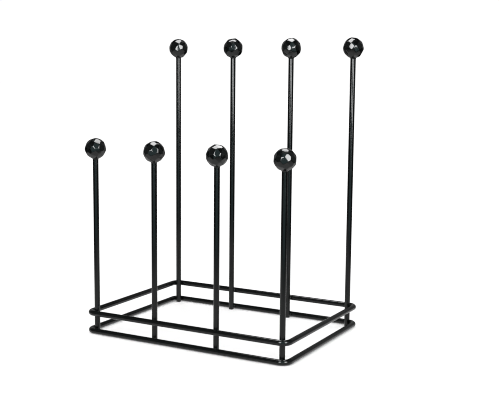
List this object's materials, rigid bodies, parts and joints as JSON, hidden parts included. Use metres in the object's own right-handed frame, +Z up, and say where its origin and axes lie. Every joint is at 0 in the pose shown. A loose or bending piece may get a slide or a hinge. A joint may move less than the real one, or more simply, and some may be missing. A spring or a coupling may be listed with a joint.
{
  "type": "boot rack",
  "caption": "Free-standing welded rod boot rack: two rounded rings on the floor carry a short front row and a tall rear row of uprights, each ending in a hammered ball.",
  "frame": {"origin": "on the floor, under the middle of the rings", "axes": "+Z up along the uprights, +X to the right along the rows, +Y from the short front row towards the tall rear row"},
  "size_m": [0.4381, 0.329, 0.5685],
  "materials": {
    "rod_paint": "gloss black paint over smooth drawn steel rod",
    "ball_paint": "gloss black paint over hammered flat facets",
    "weld_paint": "gloss black paint over an uneven weld bead"
  },
  "bodies": {
    "root": {"lower_ring": "rod_paint", "lower_ring_butt_weld": "weld_paint", "upper_ring": "rod_paint", "upper_ring_butt_weld": "weld_paint", "front_post_1": "rod_paint", "front_ball_1": "ball_paint", "front_ball_1_weld": "weld_paint", "front_post_1_lower_weld": "weld_paint", "front_post_1_upper_weld": "weld_paint", "front_post_2": "rod_paint", "front_ball_2": "ball_paint", "front_ball_2_weld": "weld_paint", "front_post_2_lower_weld": "weld_paint", "front_post_2_upper_weld": "weld_paint", "front_post_3": "rod_paint", "front_ball_3": "ball_paint", "front_ball_3_weld": "weld_paint", "front_post_3_lower_weld": "weld_paint", "front_post_3_upper_weld": "weld_paint", "front_post_4": "rod_paint", "front_ball_4": "ball_paint", "front_ball_4_weld": "weld_paint", "front_post_4_lower_weld": "weld_paint", "front_post_4_upper_weld": "weld_paint", "rear_post_1": "rod_paint", "rear_ball_1": "ball_paint", "rear_ball_1_weld": "weld_paint", "rear_post_1_lower_weld": "weld_paint", "rear_post_1_upper_weld": "weld_paint", "rear_post_2": "rod_paint", "rear_ball_2": "ball_paint", "rear_ball_2_weld": "weld_paint", "rear_post_2_lower_weld": "weld_paint", "rear_post_2_upper_weld": "weld_paint", "rear_post_3": "rod_paint", "rear_ball_3": "ball_paint", "rear_ball_3_weld": "weld_paint", "rear_post_3_lower_weld": "weld_paint", "rear_post_3_upper_weld": "weld_paint", "rear_post_4": "rod_paint", "rear_ball_4": "ball_paint", "rear_ball_4_weld": "weld_paint", "rear_post_4_lower_weld": "weld_paint", "rear_post_4_upper_weld": "weld_paint"}
  },
  "joints": []
}
